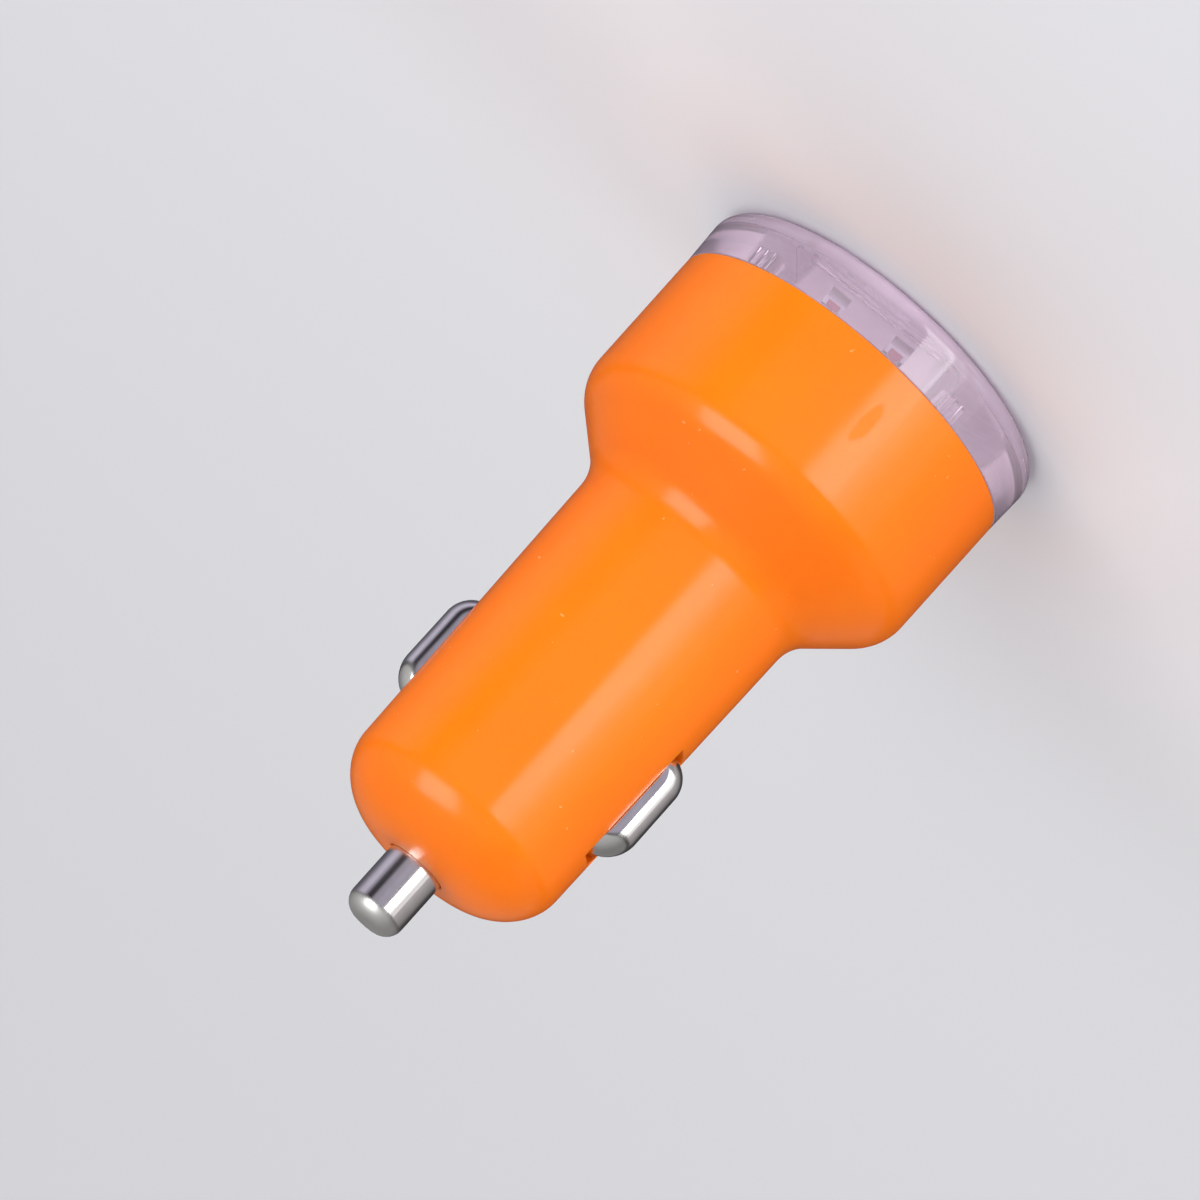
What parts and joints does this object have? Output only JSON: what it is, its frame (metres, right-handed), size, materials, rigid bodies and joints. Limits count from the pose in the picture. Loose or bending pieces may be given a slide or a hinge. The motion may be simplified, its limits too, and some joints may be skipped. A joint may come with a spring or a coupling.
{
  "type": "car usb charger plug",
  "caption": "Car charger plug: orange housing with a wide head and slim barrel, milky end cap with charging ports, sprung centre pin and sprung side contacts.",
  "frame": {"origin": "centre of the end cap's outer face, which the plug stands on", "axes": "+Z along the plug towards the centre pin's tip, +X towards the right side contact, +Y across the ports' stack"},
  "size_m": [0.0335, 0.0336, 0.0643],
  "materials": {
    "orange_plastic": "high gloss moulded",
    "milky_plastic": "translucent, glossy",
    "nickel_plate": "nickel plated, polished",
    "spring_steel": "drawn wire",
    "cup_brass": "turned",
    "board_laminate": "green solder mask",
    "shell_steel": "plated sheet",
    "socket_black": "moulded",
    "contact_gold": "plated sheet",
    "ferrite": "pressed and sintered",
    "enamel_copper": "enamelled wire",
    "can_sleeve": "shrunk sleeve",
    "tinned_wire": "tinned",
    "chip_mould": "moulded",
    "fuse_ceramic": "fired",
    "resistor_ceramic": "glazed",
    "capacitor_ceramic": "fired",
    "lamp_red": "clear lens"
  },
  "bodies": {
    "root": {"housing": "orange_plastic", "end_cap": "milky_plastic", "pin_spring": "spring_steel", "spring_cup": "cup_brass", "main_board": "board_laminate", "port_board": "board_laminate", "socket_shell_a": "shell_steel", "socket_shell_b": "shell_steel", "socket_insulator_a": "socket_black", "socket_insulator_b": "socket_black", "socket_contacts_a": "contact_gold", "socket_contacts_b": "contact_gold", "inductor_core": "ferrite", "inductor_winding": "enamel_copper", "input_capacitor": "can_sleeve", "output_capacitor": "can_sleeve", "capacitor_leads": "tinned_wire", "converter_chip": "chip_mould", "chip_legs": "tinned_wire", "diode": "chip_mould", "input_fuse": "fuse_ceramic", "chip_resistors": "resistor_ceramic", "chip_capacitors": "capacitor_ceramic", "indicator_leds": "lamp_red"},
    "pin": {"center_pin": "nickel_plate"},
    "left_contact": {"contact_left": "nickel_plate"},
    "right_contact": {"contact_right": "nickel_plate"}
  },
  "joints": [
    {"name": "pin_slide", "type": "slide", "parent": "root", "child": "pin", "axis": [0, 0, 1], "range_m": [-0.0025, 0], "stiffness_N_per_m": 600, "springref_m": 0.004, "deforming": ["pin_spring"]},
    {"name": "left_contact_spring", "type": "hinge", "parent": "root", "child": "left_contact", "pos_m": [-0.00627, 0, 0.02922], "axis": [0, 1, 0], "range_deg": [0, 7], "stiffness_Nm_per_rad": 0.25, "springref_deg": -5.73},
    {"name": "right_contact_spring", "type": "hinge", "parent": "root", "child": "right_contact", "pos_m": [0.00627, 0, 0.02922], "axis": [0, -1, 0], "range_deg": [0, 7], "stiffness_Nm_per_rad": 0.25, "springref_deg": -5.73}
  ]
}
